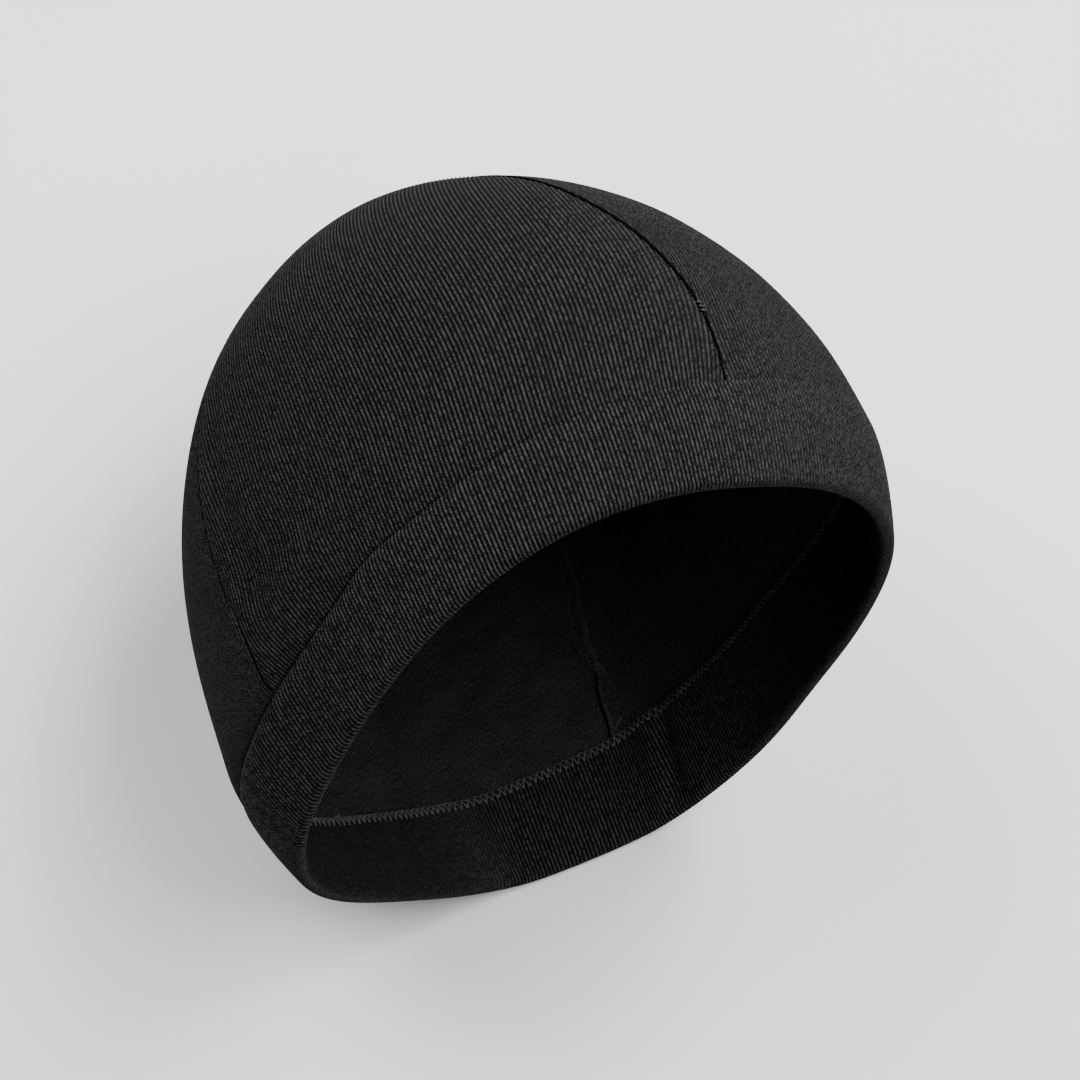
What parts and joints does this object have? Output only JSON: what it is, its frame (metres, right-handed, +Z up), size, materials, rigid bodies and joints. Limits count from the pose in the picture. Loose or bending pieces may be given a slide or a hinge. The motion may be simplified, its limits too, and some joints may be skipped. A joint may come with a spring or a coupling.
{
  "type": "thermal beanie",
  "caption": "Close-fitting knitted thermal beanie with a panelled crown and a folded double hem, lying on its side with its opening forward",
  "frame": {"origin": "on the surface the beanie lies on, under the middle of its box", "axes": "+Z up from that surface, -Y out of the opening, +Y towards the crown, +X to the right when looking into the opening from the front; the cap's own axis is level in X and dips 9 degrees towards the crown"},
  "size_m": [0.1866, 0.1746, 0.1901],
  "materials": {
    "crown_knit": "matt charcoal black knit with fine upright wales outside and a soft brushed loop face inside",
    "hem_knit": "matt charcoal black knit, folded double, fine wales on both faces",
    "hem_thread": "dull dark grey sewing thread"
  },
  "bodies": {
    "root": {"crown_panel_front": "crown_knit", "crown_panel_right": "crown_knit", "crown_panel_left": "crown_knit", "folded_hem": "hem_knit"}
  },
  "joints": []
}
